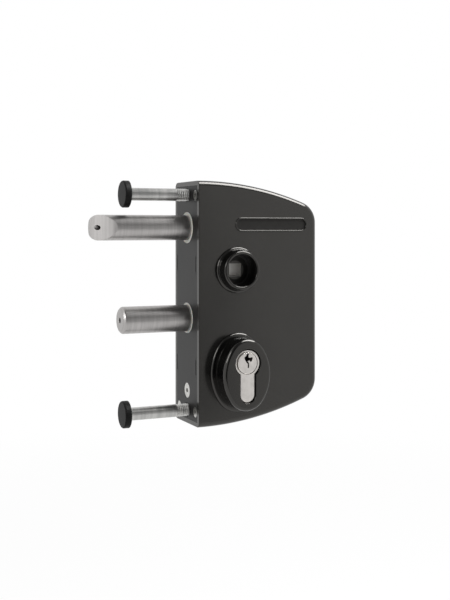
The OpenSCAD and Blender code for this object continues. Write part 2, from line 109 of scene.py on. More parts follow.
def worn_edges(made, colour, width, strength):
    """Lightens the sharp edges of a finish, where the surface is rubbed; width in mm."""
    tree = made.node_tree
    shader = tree.nodes["Principled BSDF"]
    before = shader.inputs["Base Color"].links[0].from_socket
    softened = tree.nodes.new("ShaderNodeBevel")
    softened.samples = 4
    softened.inputs["Radius"].default_value = width * MM
    true_normal = tree.nodes.new("ShaderNodeNewGeometry")
    lean = tree.nodes.new("ShaderNodeVectorMath")
    lean.operation = "DOT_PRODUCT"
    tree.links.new(softened.outputs["Normal"], lean.inputs[0])
    tree.links.new(true_normal.outputs["Normal"], lean.inputs[1])
    wear = tree.nodes.new("ShaderNodeMapRange")
    wear.inputs["From Min"].default_value = 0.995
    wear.inputs["From Max"].default_value = 0.85
    wear.inputs["To Min"].default_value = 0
    wear.inputs["To Max"].default_value = strength
    tree.links.new(lean.outputs["Value"], wear.inputs["Value"])
    blend = tree.nodes.new("ShaderNodeMix")
    blend.data_type = "RGBA"
    blend.inputs["B"].default_value = (*colour, 1)
    tree.links.new(wear.outputs["Result"], blend.inputs["Factor"])
    tree.links.new(before, blend.inputs["A"])
    tree.links.new(blend.outputs["Result"], shader.inputs["Base Color"])


def dress(finish, *names):
    """Gives CAD nodes their finish."""
    for name in names:
        nodes[name].data.materials.clear()
        nodes[name].data.materials.append(finish)


plate_coat = plain_finish("plate_coat", dark=(0.006, 0.0059, 0.0056), light=(0.010, 0.0098, 0.0093),
                          metal=0, rough=(0.40, 0.50), cloud=18, grain=0.6, depth=0.001)
coat_shine(plate_coat, 0.3)
worn_edges(plate_coat, (0.05, 0.05, 0.048), width=0.4, strength=0.4)
zinc_screw = plain_finish("zinc_screw", dark=(0.46, 0.46, 0.45), light=(0.62, 0.61, 0.58),
                          metal=1, rough=(0.22, 0.34), cloud=2, grain=0.1, depth=0.002)
worn_edges(zinc_screw, (0.74, 0.74, 0.72), width=0.25, strength=0.5)
dress(plate_coat, "mounting_plate")
dress(zinc_screw, "plate_screws", "cylinder_screw")

# Mechanism frame.
# Two punched, dark phosphated side plates held apart by shouldered spacers, the
# anchor of the latch spring, and a threaded block for each of the fixing bolts.
phosphated = plain_finish("phosphated", dark=(0.045, 0.045, 0.044), light=(0.085, 0.084, 0.082),
                          metal=1, rough=(0.42, 0.56), cloud=12, grain=0.2, depth=0.004)
worn_edges(phosphated, (0.25, 0.25, 0.24), width=0.4, strength=0.4)
punched_steel = plain_finish("punched_steel", dark=(0.34, 0.35, 0.36), light=(0.50, 0.50, 0.50),
                             metal=1, rough=(0.32, 0.46), cloud=14, grain=0.2, depth=0.004,
                             stretch=(1, 1, 0.06))
worn_edges(punched_steel, (0.62, 0.62, 0.61), width=0.4, strength=0.5)
turned_steel = plain_finish("turned_steel", dark=(0.45, 0.45, 0.45), light=(0.58, 0.58, 0.57),
                            metal=1, rough=(0.24, 0.36), cloud=4, grain=0.15, depth=0.003,
                            stretch=(0.05, 1, 0.05))
dress(phosphated, "front_side_plate", "rear_side_plate")
dress(punched_steel, "spring_anchor", "fixing_blocks")
dress(turned_steel, "plate_spacers")

# Latch works.
# A nylon bush in the plate, a milled carriage with its stud, a guide rod, and
# a coil spring of drawn wire that pushes the carriage out towards the plate.
bush_nylon = plain_finish("bush_nylon", dark=(0.60, 0.59, 0.54), light=(0.70, 0.69, 0.64),
                          metal=0, rough=(0.42, 0.55), cloud=5, grain=0.12, depth=0.006)
bush_nylon.node_tree.nodes["Principled BSDF"].inputs["Subsurface Weight"].default_value = 0.15
bush_nylon.node_tree.nodes["Principled BSDF"].inputs["Subsurface Scale"].default_value = 0.002
milled_steel = plain_finish("milled_steel", dark=(0.36, 0.37, 0.38), light=(0.50, 0.50, 0.50),
                            metal=1, rough=(0.26, 0.42), cloud=8, grain=0.3, depth=0.006,
                            stretch=(1, 1, 0.08))
worn_edges(milled_steel, (0.66, 0.66, 0.65), width=0.4, strength=0.6)
drawn_wire = plain_finish("drawn_wire", dark=(0.30, 0.30, 0.31), light=(0.44, 0.43, 0.42),
                          metal=1, rough=(0.2, 0.34), cloud=3, grain=0.08, depth=0.002)
dress(bush_nylon, "latch_bush")
dress(milled_steel, "latch_carriage", "latch_stud")
dress(turned_steel, "latch_guide_rod")


def wind(name, route, wire_radius):
    """Round wire along a route of points in mm, with closed ends."""
    bpy.ops.object.select_all(action="DESELECT")
    bpy.ops.curve.primitive_nurbs_path_add()
    coil = bpy.context.object
    coil.name = name
    coil.data.splines.clear()
    spline = coil.data.splines.new("POLY")
    spline.points.add(len(route) - 1)
    for point, at in zip(spline.points, route):
        point.co = (at[0] * MM, at[1] * MM, at[2] * MM, 1)
    coil.data.bevel_depth = wire_radius * MM
    coil.data.bevel_resolution = 3
    coil.data.use_fill_caps = True
    bpy.ops.object.convert(target="MESH")
    bpy.ops.object.shade_smooth_by_angle(angle=math.radians(50))
    return coil


LATCH_Z = 48
COIL_STEPS, COIL_TURNS, COIL_R, COIL_WIRE = 36, 9, 7.2, 0.8
COIL_FIRST, COIL_SPAN = 30.95, 40.1
# The first and last tenth of the turns are wound closer, at 0.6 of the mean pitch.
END_SHARE, END_PITCH = 0.1, 0.6
middle_pitch = (1 - 2 * END_PITCH * END_SHARE) / (1 - 2 * END_SHARE)
coil_route = []
for i in range(COIL_STEPS * COIL_TURNS + 1):
    share = i / (COIL_STEPS * COIL_TURNS)
    if share < END_SHARE:
        along = END_PITCH * share
    elif share > 1 - END_SHARE:
        along = 1 - END_PITCH * (1 - share)
    else:
        along = END_PITCH * END_SHARE + (share - END_SHARE) * middle_pitch
    turn = 2 * math.pi * i / COIL_STEPS
    coil_route.append((COIL_FIRST + COIL_SPAN * along, COIL_R * math.cos(turn),
                       LATCH_Z + COIL_R * math.sin(turn)))
latch_coil = wind("latch_coil", coil_route, COIL_WIRE)
latch_coil.data.materials.append(drawn_wire)
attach(latch_coil, "lock")
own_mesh(latch_coil)
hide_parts("latch_spring")

# Latch bolt.
# A round stainless bar, turned and ground, with a slightly convex ramp milled on its
# front side, rounded tip corners and a hole for the key of its adjusting stud.
ALONG_X, ALONG_Y = (1, 0, 0), (0, 1, 0)
# A point this near to a face, in mm, counts as lying on it.
TOUCH = 0.01


def begin_line(name, start):
    """Starts a drawn line in edit mode: a plane merged to one point and moved to its place."""
    bpy.ops.object.select_all(action="DESELECT")
    bpy.ops.mesh.primitive_plane_add(size=2 * MM, location=(0, 0, 0))
    piece = bpy.context.object
    piece.name = piece.data.name = name
    bpy.ops.object.mode_set(mode="EDIT")
    bpy.ops.mesh.select_all(action="SELECT")
    bpy.ops.mesh.merge(type="CENTER")
    bpy.ops.transform.translate(value=Vector(start) * MM)
    return piece


def line_to(piece, point):
    """Draws the line on from its selected end to a point in mm."""
    mesh = bmesh.from_edit_mesh(piece.data)
    end = next(v.co.copy() for v in mesh.verts if v.select)
    bpy.ops.mesh.extrude_vertices_move(TRANSFORM_OT_translate={"value": Vector(point) * MM - end})


def arc(centre, degrees, steps, axis=ALONG_Y):
    """Draws the line on along an arc; seen from the front, a positive angle runs counter-clockwise."""
    bpy.ops.mesh.spin(steps=steps, angle=math.radians(degrees), center=Vector(centre) * MM, axis=axis)


def close_face():
    """Joins the line's ends and fills it with one face, which stays selected."""
    bpy.ops.mesh.select_all(action="SELECT")
    bpy.ops.mesh.remove_doubles(threshold=0.005 * MM)
    bpy.ops.mesh.select_all(action="SELECT")
    bpy.ops.mesh.edge_face_add()


def pull(step):
    """Extrudes what is selected by a step in mm."""
    bpy.ops.mesh.extrude_region_move(TRANSFORM_OT_translate={"value": Vector(step) * MM})


def outward():
    """Merges doubles and points all faces outwards."""
    bpy.ops.mesh.select_all(action="SELECT")
    bpy.ops.mesh.remove_doubles(threshold=0.002 * MM)
    bpy.ops.mesh.normals_make_consistent(inside=False)
    bpy.ops.mesh.select_all(action="DESELECT")


def pick(piece, kind, test):
    """Selects the corners (VERT) or edges (EDGE) whose points, in mm, all pass the test."""
    bpy.ops.mesh.select_mode(type=kind)
    bpy.ops.mesh.select_all(action="DESELECT")
    mesh = bmesh.from_edit_mesh(piece.data)
    if kind == "VERT":
        for corner in mesh.verts:
            corner.select_set(test(corner.co / MM))
    else:
        for edge in mesh.edges:
            edge.select_set(all(test(v.co / MM) for v in edge.verts))
    bmesh.update_edit_mesh(piece.data)


def round_off(radius, segments, affect="EDGES"):
    """Rounds the selected edges or corners by a radius in mm."""
    bpy.ops.mesh.bevel(offset=radius * MM, offset_type="OFFSET", segments=segments, affect=affect,
                       clamp_overlap=True)


def leave_edit():
    """Goes back to object mode, with corners as the kind that is selected."""
    bpy.ops.mesh.select_mode(type="VERT")
    bpy.ops.object.mode_set(mode="OBJECT")


def turned(name, profile, middle, axis, steps=96):
    """Turned piece: a closed profile, spun round an axis through a middle point.
    Each corner is (place along the axis, radius, rounding) in mm."""
    along, across = Vector(axis), Vector((0, 0, 1))
    corners = [Vector(middle) + along * place + across * radius for place, radius, _ in profile]
    piece = begin_line(name, corners[0])
    for corner in corners[1:]:
        line_to(piece, corner)
    close_face()
    for corner, (_, _, rounding) in zip(corners, profile):
        if rounding:
            pick(piece, "VERT", lambda p: (p - corner).length < 0.003)
            round_off(rounding, 5, "VERTICES")
    bpy.ops.mesh.select_all(action="SELECT")
    bpy.ops.mesh.delete(type="ONLY_FACE")
    pick(piece, "EDGE", lambda p: abs((p - Vector(middle)).dot(across)) < 0.001)
    bpy.ops.mesh.delete(type="EDGE")
    bpy.ops.mesh.select_mode(type="VERT")
    bpy.ops.mesh.select_all(action="SELECT")
    bpy.ops.mesh.spin(steps=steps, angle=2 * math.pi, center=Vector(middle) * MM, axis=axis)
    outward()
    leave_edit()
    return piece


def carve(piece, cutter, how="DIFFERENCE"):
    """Cuts a piece with another mesh, or joins them, and removes that mesh."""
    cut = piece.modifiers.new("carve", "BOOLEAN")
    cut.operation = how
    cut.solver = "EXACT"
    cut.object = cutter
    bpy.context.view_layer.objects.active = piece
    bpy.ops.object.modifier_apply(modifier=cut.name)
    bpy.data.objects.remove(cutter)


def soften(piece, width, segments=3, degrees=35):
    """Breaks every edge that is sharper than an angle; width in mm."""
    bevel = piece.modifiers.new("broken edges", "BEVEL")
    bevel.width = width * MM
    bevel.segments = segments
    bevel.limit_method = "ANGLE"
    bevel.angle_limit = math.radians(degrees)
    bevel.miter_outer = "MITER_ARC"
    bpy.context.view_layer.objects.active = piece
    bpy.ops.object.modifier_apply(modifier=bevel.name)


def choose(piece):
    """Makes a piece the only selected and the active one."""
    bpy.ops.object.select_all(action="DESELECT")
    piece.select_set(True)
    bpy.context.view_layer.objects.active = piece


def smooth(piece, degrees=32):
    """Smooth shading with sharp corners kept and flat faces left flat."""
    choose(piece)
    bpy.ops.object.shade_smooth_by_angle(angle=math.radians(degrees))
    flat = piece.modifiers.new("flat faces", "WEIGHTED_NORMAL")
    flat.keep_sharp = True
    flat.weight = 80
    bpy.ops.object.modifier_apply(modifier=flat.name)


def place(piece, finish, body, slot, *replaced):
    """Gives a finished piece its material and its body, and hides the CAD nodes that it stands for; the
    slot is not used.
    """
    piece.data.materials.append(finish)
    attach(piece, body)
    if replaced:
        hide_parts(*replaced)


ground_steel = plain_finish("ground_steel", dark=(0.39, 0.378, 0.37), light=(0.46, 0.445, 0.437),
                            metal=1, rough=(0.32, 0.40), cloud=1.2, grain=0.06, depth=0.0003,
                            stretch=(1, 0.05, 0.05))
worn_edges(ground_steel, (0.62, 0.61, 0.60), width=0.3, strength=0.5)
BAR_STEPS, STUD_R = 128, 4.03
LATCH_R, LATCH_TIP, LATCH_END, LATCH_BORE = 8, -63.3, 7.6, -26
TIP_R, TIP_STEPS, TIP_HOLE_R, TIP_MARGIN = 4.5, 16, 1.6, 0.1
latch_bar = turned("latch_bar", [
    (LATCH_TIP, TIP_HOLE_R, 0), (LATCH_TIP, LATCH_R, 0), (LATCH_END, LATCH_R, 0.5),
    (LATCH_END, STUD_R, 0.3), (LATCH_BORE, STUD_R, 0), (LATCH_BORE, TIP_HOLE_R, 0)],
    (0, 0, LATCH_Z), ALONG_X, BAR_STEPS)
# A block with the tip's rounded outline, longer and deeper than the bar, keeps what lies in it.
BLOCK_END, BLOCK_Y = 20, 12
tip_top, tip_low = LATCH_Z + LATCH_R + TIP_MARGIN, LATCH_Z - LATCH_R - TIP_MARGIN
tip_block = begin_line("tip_block", (BLOCK_END, -BLOCK_Y, tip_top))
line_to(tip_block, (LATCH_TIP + TIP_R, -BLOCK_Y, tip_top))
arc((LATCH_TIP + TIP_R, -BLOCK_Y, tip_top - TIP_R), 90, TIP_STEPS)
line_to(tip_block, (LATCH_TIP, -BLOCK_Y, tip_low + TIP_R))
arc((LATCH_TIP + TIP_R, -BLOCK_Y, tip_low + TIP_R), 90, TIP_STEPS)
line_to(tip_block, (BLOCK_END, -BLOCK_Y, tip_low))
close_face()
pull((0, 2 * BLOCK_Y, 0))
outward()
leave_edit()
carve(latch_bar, tip_block, "INTERSECT")
# The ramp starts at the first angle and grows steeper, so that its mean angle brings it to the tip.
RAMP_X, RAMP_FIRST, RAMP_MEAN = -49, math.radians(24), math.radians(40)
RAMP_STEPS, RAMP_LEAD, RAMP_PAST, RAMP_Z = 24, 2, 1.5, 15
ramp_length = RAMP_X - LATCH_TIP
first_rise = math.tan(RAMP_FIRST)
added_rise = (math.tan(RAMP_MEAN) - first_rise) / ramp_length
outside = -LATCH_R - RAMP_LEAD * first_rise
ramp_cut = begin_line("ramp_cut", (RAMP_X + RAMP_LEAD, outside, LATCH_Z - RAMP_Z))
for i in range(RAMP_STEPS + 1):
    far = i / RAMP_STEPS * RAMP_PAST * ramp_length
    line_to(ramp_cut, (RAMP_X - far, -LATCH_R + (first_rise + added_rise * far) * far, LATCH_Z - RAMP_Z))
line_to(ramp_cut, (RAMP_X - far, outside, LATCH_Z - RAMP_Z))
close_face()
pull((0, 0, 2 * RAMP_Z))
outward()
leave_edit()
carve(latch_bar, ramp_cut)
# The ramp leaves the bar at a small angle, so edges count here from fewer degrees than elsewhere.
LATCH_BREAK, LATCH_EDGE = 0.3, 20
soften(latch_bar, LATCH_BREAK, degrees=LATCH_EDGE)
smooth(latch_bar, LATCH_EDGE)
place(latch_bar, ground_steel, "latch", "stainless", "latch_bolt")

# Hub.
# A sintered steel follower, blackened all over, rubbed bare in the broached square
# hole for the spindle and dull round it. A torsion spring of drawn wire returns it.
HUB_X, HUB_Z = 26.5, 21
HUB_SQUARE, RUBBED_R, RUB_FADE = 4.05, 5.9, 0.15
sintered_hub = plain_finish("sintered_hub", dark=(0.020, 0.020, 0.019), light=(0.035, 0.034, 0.032),
                            metal=1, rough=(0.36, 0.5), cloud=3, grain=0.18, depth=0.01)


def rubbed(made, colour, reach, measure):
    """Shows a colour near the hub's axis, which runs along Y, within a reach in mm that is measured
    straight away from the axis (LENGTH) or as the larger of its two parts (SQUARE)."""
    tree = made.node_tree
    shader = tree.nodes["Principled BSDF"]
    coating = shader.inputs["Base Color"].links[0].from_socket
    spot = tree.nodes.new("ShaderNodeTexCoord")
    centred = tree.nodes.new("ShaderNodeMapping")
    centred.vector_type = "TEXTURE"
    centred.inputs["Location"].default_value = (HUB_X * MM, 0, HUB_Z * MM)
    tree.links.new(spot.outputs["Object"], centred.inputs["Vector"])
    across = tree.nodes.new("ShaderNodeVectorMath")
    across.operation = "MULTIPLY"
    across.inputs[1].default_value = (1, 0, 1)
    tree.links.new(centred.outputs["Vector"], across.inputs[0])
    if measure == "LENGTH":
        away = tree.nodes.new("ShaderNodeVectorMath")
        away.operation = "LENGTH"
        tree.links.new(across.outputs["Vector"], away.inputs[0])
    else:
        positive = tree.nodes.new("ShaderNodeVectorMath")
        positive.operation = "ABSOLUTE"
        tree.links.new(across.outputs["Vector"], positive.inputs[0])
        split = tree.nodes.new("ShaderNodeSeparateXYZ")
        tree.links.new(positive.outputs["Vector"], split.inputs["Vector"])
        away = tree.nodes.new("ShaderNodeMath")
        away.operation = "MAXIMUM"
        tree.links.new(split.outputs["X"], away.inputs[0])
        tree.links.new(split.outputs["Z"], away.inputs[1])
    bared = tree.nodes.new("ShaderNodeMapRange")
    bared.inputs["From Min"].default_value = (reach + RUB_FADE) * MM
    bared.inputs["From Max"].default_value = reach * MM
    tree.links.new(away.outputs["Value"], bared.inputs["Value"])
    blend = tree.nodes.new("ShaderNodeMix")
    blend.data_type = "RGBA"
    blend.inputs["B"].default_value = (*colour, 1)
    tree.links.new(bared.outputs["Result"], blend.inputs["Factor"])
    tree.links.new(coating, blend.inputs["A"])
    tree.links.new(blend.outputs["Result"], shader.inputs["Base Color"])


rubbed(sintered_hub, (0.09, 0.088, 0.083), RUBBED_R, "LENGTH")
rubbed(sintered_hub, (0.44, 0.43, 0.41), HUB_SQUARE, "SQUARE")
dress(sintered_hub, "hub_follower")
TORSION_R, TORSION_TURNS, TORSION_WIRE = 12.6, 4.25, 0.75
TORSION_FIRST, TORSION_RISE = 12.9, 8.5
FIXED_LEG_X, MOVING_LEG_Z = (65, 58, 50, 42, 34), (4, 7, 10)
torsion_last = TORSION_FIRST - TORSION_RISE
torsion_route = [(x, TORSION_FIRST, HUB_Z - TORSION_R) for x in FIXED_LEG_X]
for i in range(int(COIL_STEPS * TORSION_TURNS) + 1):
    turn = 1.5 * math.pi - 2 * math.pi * i / COIL_STEPS
    torsion_route.append((HUB_X + TORSION_R * math.cos(turn),
                          TORSION_FIRST - TORSION_RISE * i / (COIL_STEPS * TORSION_TURNS),
                          HUB_Z + TORSION_R * math.sin(turn)))
torsion_route += [(HUB_X - TORSION_R, torsion_last, HUB_Z + z) for z in MOVING_LEG_Z]
hub_coil = wind("hub_coil", torsion_route, TORSION_WIRE)
hub_coil.data.materials.append(drawn_wire)
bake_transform(hub_coil)
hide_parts("hub_spring")

# Deadbolt works.
# A nylon bush, a carriage that the key cam throws, the stud that carries the
# bolt, and a flat spring that clicks into two notches of the carriage.
dress(bush_nylon, "deadbolt_bush")
dress(milled_steel, "deadbolt_carriage", "deadbolt_stud", "cylinder_cam", "cam_clutch")
dress(drawn_wire, "detent_spring")

# Deadbolt.
# A round stainless bar, turned and ground, with a chamfered face and a hole
# for the key of its adjusting stud.
DEAD_Z, DEAD_R, DEAD_FACE, DEAD_END, DEAD_BORE = -10, 8.5, -45.3, 30.5, -24
FACE_CHAMFER, FACE_HOLE_R = 1.5, 1.7
deadbolt_bar = turned("deadbolt_bar", [
    (DEAD_FACE, FACE_HOLE_R, 0.3), (DEAD_FACE, DEAD_R - FACE_CHAMFER, 0.5),
    (DEAD_FACE + FACE_CHAMFER, DEAD_R, 0.5), (DEAD_END, DEAD_R, 0.5),
    (DEAD_END, STUD_R, 0.3), (DEAD_BORE, STUD_R, 0), (DEAD_BORE, FACE_HOLE_R, 0)],
    (0, 0, DEAD_Z), ALONG_X, BAR_STEPS)
smooth(deadbolt_bar)
place(deadbolt_bar, ground_steel, "deadbolt", "stainless", "deadbolt")

# Case.
# A deep arched shell of metal with rounded front and rear edges, coated in
# semi-gloss black. Its open side faces the mounting plate.
WARM_SHINE = (1, 0.97, 0.92)
case_coat = plain_finish("case_coat", dark=(0.0058, 0.0057, 0.0054), light=(0.0078, 0.0076, 0.0072),
                         metal=0, rough=(0.13, 0.17), cloud=22, grain=1.6, depth=0.00015)
coat_shine(case_coat, 0.6, WARM_SHINE)
CASE_W, CASE_D, HALF_H, EDGE_R, WALL = 84.5, 20, 77.6, 3.5, 3
ARCH_R, CORNER_R, ARCH_STEPS, CORNER_STEPS = 205, 14, 48, 24
FOOT_BREAK, SPACE_X = 0.4, -1
# Cosine and sine of the place where the arch runs over into the corner.
SEAM_X, SEAM_Z = 0.352, 0.936
CORNER_X = CASE_W - CORNER_R
ARCH_X, ARCH_Z = CORNER_X - (ARCH_R - CORNER_R) * SEAM_X, HALF_H - ARCH_R
CORNER_Z = ARCH_Z + (ARCH_R - CORNER_R) * SEAM_Z
SEAM = math.degrees(math.atan2(SEAM_Z, SEAM_X))


def arched_block(name, inset, x0, half_depth):
    """Block with the case's D outline, drawn in by inset and cut off at x0."""
    radius = ARCH_R - inset
    first = math.degrees(math.acos((x0 - ARCH_X) / radius))
    top = ARCH_Z + math.sqrt(radius ** 2 - (x0 - ARCH_X) ** 2)
    block = begin_line(name, (x0, -half_depth, top))
    arc((ARCH_X, -half_depth, ARCH_Z), SEAM - first, ARCH_STEPS)
    arc((CORNER_X, -half_depth, CORNER_Z), -SEAM, CORNER_STEPS)
    line_to(block, (CASE_W - inset, -half_depth, -CORNER_Z))
    arc((CORNER_X, -half_depth, -CORNER_Z), -SEAM, CORNER_STEPS)
    arc((ARCH_X, -half_depth, -ARCH_Z), SEAM - first, ARCH_STEPS)
    close_face()
    pull((0, 2 * half_depth, 0))
    outward()
    return block


def cut_box(piece, middle, size):
    """Cuts a box out of a piece; middle and size in mm."""
    bpy.ops.mesh.primitive_cube_add(size=1, location=Vector(middle) * MM, scale=Vector(size) * MM)
    carve(piece, bpy.context.object)


def drill(piece, radius, length, middle, turn, sides):
    """Drills a round hole through a piece; radius, length and middle in mm."""
    bpy.ops.mesh.primitive_cylinder_add(vertices=sides, radius=radius * MM, depth=length * MM,
                                        location=Vector(middle) * MM, rotation=turn)
    carve(piece, bpy.context.object)


case = arched_block("case_shell", 0, 0, CASE_D)
for side in (-1, 1):
    bpy.ops.mesh.select_mode(type="EDGE")
    bpy.ops.mesh.select_all(action="DESELECT")
    outline = bmesh.from_edit_mesh(case.data)
    for edge in outline.edges:
        a, b = (v.co / MM for v in edge.verts)
        on_side = abs(a.y - side * CASE_D) + abs(b.y - side * CASE_D) < TOUCH
        edge.select_set(on_side and max(a.x, b.x) > TOUCH)
    bmesh.update_edit_mesh(case.data)
    round_off(EDGE_R, 9)
outward()
pick(case, "EDGE", lambda p: p.x < TOUCH)
round_off(FOOT_BREAK, 3)
outward()
leave_edit()
space = arched_block("case_space", WALL, SPACE_X, CASE_D - WALL)
leave_edit()
# Four lugs for the plate's screws are left standing, because the space is cut back there.
LUG_X, LUG_Y, LUG_Z = (3, 16), (9.8, 18.2), (63, 77)
for side in (-1, 1):
    for end in (-1, 1):
        cut_box(space, (sum(LUG_X) / 2, side * sum(LUG_Y) / 2, end * sum(LUG_Z) / 2),
                [high - low for low, high in (LUG_X, LUG_Y, LUG_Z)])
carve(case, space)
HOLE_R = 12
drill(case, HOLE_R, 3 * CASE_D, (HUB_X, 0, HUB_Z), (math.pi / 2, 0, 0), 96)
KEY_Z = -36.5
BODY_R, LEG, BODY_H = 8.5, 5, 33
KEY_WAY_GAP, KEY_WAY_Y = 2.2, 30


def key_outline(name, grow, y):
    """Outline of the key cylinder's section, grown by a margin, as one face at depth y."""
    outer, half = BODY_R + grow, LEG + grow
    drop = math.sqrt(outer ** 2 - half ** 2)
    shoulder = math.degrees(math.asin(half / outer))
    leg_z = KEY_Z + BODY_R - BODY_H + LEG
    section = begin_line(name, (HUB_X + half, y, KEY_Z - drop))
    arc((HUB_X, y, KEY_Z), 360 - 2 * shoulder, 72)
    line_to(section, (HUB_X - half, y, leg_z))
    arc((HUB_X, y, leg_z), 180, 36)
    close_face()
    return section


def key_block(name, grow, y0, y1):
    """Bar of the key cylinder's section between two depths."""
    block = key_outline(name, grow, y0)
    pull((0, y1 - y0, 0))
    outward()
    leave_edit()
    return block


carve(case, key_block("key_way", KEY_WAY_GAP, -KEY_WAY_Y, KEY_WAY_Y))
FIELD_X, FIELD_Z, FIELD_L, FIELD_H, FIELD_STEPS = 51, 50, 52, 9, 24
RIM_W, RIM_OUT, FIELD_DEPTH = 1, 0.6, 0.5


def long_field(name, inset, y):
    """Face with round ends, the shape of the long field, drawn in by inset."""
    half, radius = (FIELD_L - FIELD_H) / 2, FIELD_H / 2 - inset
    field = begin_line(name, (FIELD_X + half, y, FIELD_Z - radius))
    arc((FIELD_X + half, y, FIELD_Z), 180, FIELD_STEPS)
    line_to(field, (FIELD_X - half, y, FIELD_Z + radius))
    arc((FIELD_X - half, y, FIELD_Z), 180, FIELD_STEPS)
    close_face()
    return field


recess = long_field("field_recess", RIM_W, -CASE_D - 1)
pull((0, 1 + FIELD_DEPTH, 0))
outward()
leave_edit()
carve(case, recess)
smooth(case)
place(case, case_coat, "lock", "black_coating", "lock_case")
field_coat = plain_finish("field_coat", dark=(0.004, 0.004, 0.004), light=(0.007, 0.0068, 0.0066),
                          metal=0, rough=(0.38, 0.5), cloud=4, grain=0.5, depth=0.004)
coat_shine(field_coat, 0.4, WARM_SHINE)
case.data.materials.append(field_coat)
for face in case.data.polygons:
    at = face.center / MM
    on_floor = abs(at.y + CASE_D - FIELD_DEPTH) < 0.05 and abs(at.x - FIELD_X) < FIELD_L / 2
    if on_floor and abs(at.z - FIELD_Z) < FIELD_H / 2:
        face.material_index = 1

# Rim of the long field.
# A low raised line with round ends, cast with the case and coated with it.
# The field inside is bare.
RIM_ROOT, RIM_ROUND = 0.3, 0.46
rim = long_field("name_field_rim", 0, -CASE_D + RIM_ROOT)
bpy.ops.mesh.inset(thickness=RIM_W * MM)
bpy.ops.mesh.delete(type="FACE")
bpy.ops.mesh.select_all(action="SELECT")
pull((0, -RIM_OUT - RIM_ROOT, 0))
outward()
leave_edit()
soften(rim, RIM_ROUND, 6, 60)
smooth(rim, 50)
place(rim, case_coat, "lock", "black_coating")

# Handle sockets.
# A black turned collar with a base flange on each side of the case. It guides
# the neck of the handle and is pressed into the case with its spigot.
gloss_black = plain_finish("gloss_black", dark=(0.0012, 0.0012, 0.0012), light=(0.002, 0.002, 0.0019),
                           metal=0, rough=(0.125, 0.135), cloud=12, grain=1.4, depth=0.0001)
coat_shine(gloss_black, 0.64, WARM_SHINE)
SOCKET_IN, SOCKET_R, SOCKET_BASE, SOCKET_OUT = 10.25, 12.2, 13.4, 8
FLANGE_R, FLANGE_T, FLANGE_ROUND = 14.7, 1.6, 1.1


def turned_about(piece, name):
    """Copy of a piece, turned half a turn to the rear of the case."""
    choose(piece)
    bpy.ops.object.duplicate()
    copy = bpy.context.object
    copy.name = copy.data.name = name
    bpy.ops.object.mode_set(mode="EDIT")
    bpy.ops.mesh.select_all(action="SELECT")
    bpy.ops.transform.rotate(value=math.pi, orient_axis="Z", center_override=(HUB_X * MM, 0, 0))
    leave_edit()
    return copy


flange_face, socket_face = -CASE_D - FLANGE_T, -CASE_D - SOCKET_OUT
front_socket = turned("front_socket_collar", [
    (-CASE_D + WALL, SOCKET_IN, 0), (-CASE_D + WALL, HOLE_R, 0), (-CASE_D, HOLE_R, 0),
    (-CASE_D, FLANGE_R, 0), (flange_face, FLANGE_R, FLANGE_ROUND), (flange_face, SOCKET_BASE, 0.3),
    (socket_face, SOCKET_R, 0.8), (socket_face, SOCKET_IN, 0.5)], (HUB_X, 0, HUB_Z), ALONG_Y)
smooth(front_socket)
rear_socket = turned_about(front_socket, "rear_socket_collar")
place(front_socket, gloss_black, "lock", "black_gloss", "front_handle_socket")
place(rear_socket, gloss_black, "lock", "black_gloss", "rear_handle_socket")

# Rosettes.
# An oval moulded block with a base flange on each side of the case, black and
# glossy, which guards the key cylinder. Its hole follows the cylinder's section.
OVAL_UP = 0.6
OVAL_Z = KEY_Z + BODY_R - BODY_H / 2 + OVAL_UP
OVAL_W, OVAL_H, OVAL_OUT, OVAL_STEPS = 16.2, 22.4, 15.8, 40
OVAL_END, OVAL_SIDE = 9.3, 12.4
OVAL_BASE, FOOT_OUT, FOOT_T, FOOT_ROUND, OVAL_ROUND = 0.4, 2.7, 1.8, 1.3, 2
HOLE_GAP, HOLE_BREAK, HOLE_FROM, HOLE_TO = 0.45, 0.3, -40, -10
SPIGOT_GROW, SPIGOT_ROOT = 2.15, 0.6
end_turn = math.degrees(math.atan2(OVAL_SIDE, OVAL_END))
side_turn = 90 - end_turn
end_r = OVAL_H - OVAL_END + FOOT_OUT
between = math.hypot(OVAL_SIDE, OVAL_END)
rosette = begin_line("front_rosette_block", (HUB_X + end_r * OVAL_SIDE / between, -CASE_D,
                                             OVAL_Z + OVAL_END + end_r * OVAL_END / between))
arc((HUB_X, -CASE_D, OVAL_Z + OVAL_END), 2 * end_turn, OVAL_STEPS)
arc((HUB_X + OVAL_SIDE, -CASE_D, OVAL_Z), 2 * side_turn, OVAL_STEPS)
arc((HUB_X, -CASE_D, OVAL_Z - OVAL_END), 2 * end_turn, OVAL_STEPS)
arc((HUB_X - OVAL_SIDE, -CASE_D, OVAL_Z), 2 * side_turn, OVAL_STEPS)
close_face()
pull((0, -FOOT_T, 0))
outward()
pick(rosette, "EDGE", lambda p: p.y < -CASE_D - FOOT_T + TOUCH)
round_off(FOOT_ROUND, 6)
bpy.ops.mesh.select_mode(type="FACE")
bpy.ops.mesh.select_all(action="DESELECT")
outline = bmesh.from_edit_mesh(rosette.data)
next(f for f in outline.faces if f.normal.y < -0.99 and len(f.verts) > 20).select_set(True)
bmesh.update_edit_mesh(rosette.data)
bpy.ops.mesh.inset(thickness=(FOOT_OUT - OVAL_BASE - FOOT_ROUND) * MM)
pull((0, FOOT_T - OVAL_OUT, 0))
bpy.ops.transform.resize(value=(OVAL_W / (OVAL_W + OVAL_BASE), 1, OVAL_H / (OVAL_H + OVAL_BASE)),
                         center_override=(HUB_X * MM, -(CASE_D + OVAL_OUT) * MM, OVAL_Z * MM))
pick(rosette, "EDGE", lambda p: p.y < -CASE_D - OVAL_OUT + TOUCH)
round_off(OVAL_ROUND, 8)
outward()
leave_edit()
